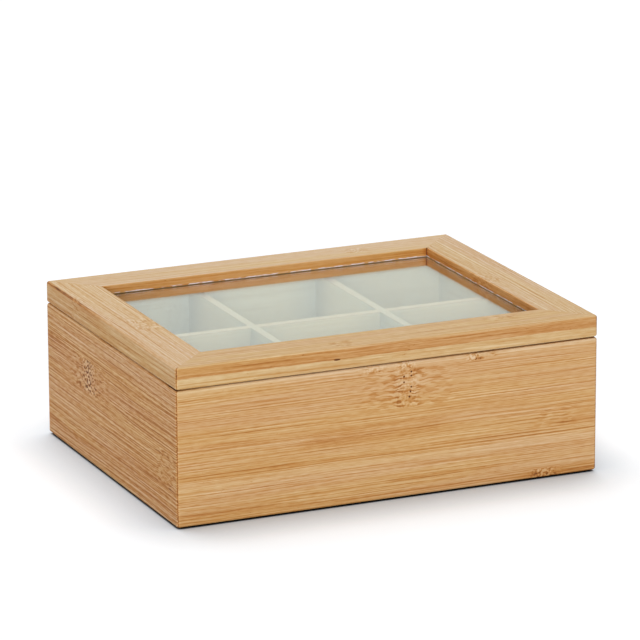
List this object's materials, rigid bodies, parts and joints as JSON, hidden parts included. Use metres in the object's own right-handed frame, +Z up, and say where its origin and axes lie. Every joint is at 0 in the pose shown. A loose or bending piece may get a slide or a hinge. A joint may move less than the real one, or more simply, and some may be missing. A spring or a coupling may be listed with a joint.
{
  "type": "tea bag organizer box",
  "caption": "Rectangular bamboo box with a halved grid of dividers that keeps wrapped tea bags apart, under a hinged mitred lid with a clear pane.",
  "frame": {"origin": "middle of the underside, where the box stands on the table", "axes": "+X to the right along the long front, +Y to the hinged back, +Z up"},
  "size_m": [0.22, 0.1745, 0.078],
  "materials": {
    "bamboo_wall": "solid bamboo strips, clear satin lacquer",
    "bamboo_board": "thin bamboo board, sanded",
    "bamboo_divider": "thin pale bamboo, sanded",
    "bamboo_rail": "solid bamboo strips, clear satin lacquer",
    "clear_pane": "clear float glass",
    "hinge_steel": "nickel-plated steel",
    "screw_steel": "nickel-plated steel"
  },
  "bodies": {
    "box": {"front_panel": "bamboo_wall", "back_panel": "bamboo_wall", "left_panel": "bamboo_wall", "right_panel": "bamboo_wall", "base_panel": "bamboo_board", "long_divider": "bamboo_divider", "cross_divider_left": "bamboo_divider", "cross_divider_right": "bamboo_divider", "hinge_left_box_leaf": "hinge_steel", "hinge_left_pin": "hinge_steel", "hinge_right_box_leaf": "hinge_steel", "hinge_right_pin": "hinge_steel", "box_leaf_screws": "screw_steel"},
    "lid": {"lid_front_rail": "bamboo_rail", "lid_back_rail": "bamboo_rail", "lid_left_rail": "bamboo_rail", "lid_right_rail": "bamboo_rail", "window_pane": "clear_pane", "hinge_left_lid_leaf": "hinge_steel", "hinge_right_lid_leaf": "hinge_steel", "lid_leaf_screws": "screw_steel"}
  },
  "joints": [
    {"name": "lid_hinge", "type": "hinge", "parent": "box", "child": "lid", "pos_m": [0, 0.0873, 0.06705], "axis": [-1, 0, 0], "range_deg": [0, 100]}
  ]
}
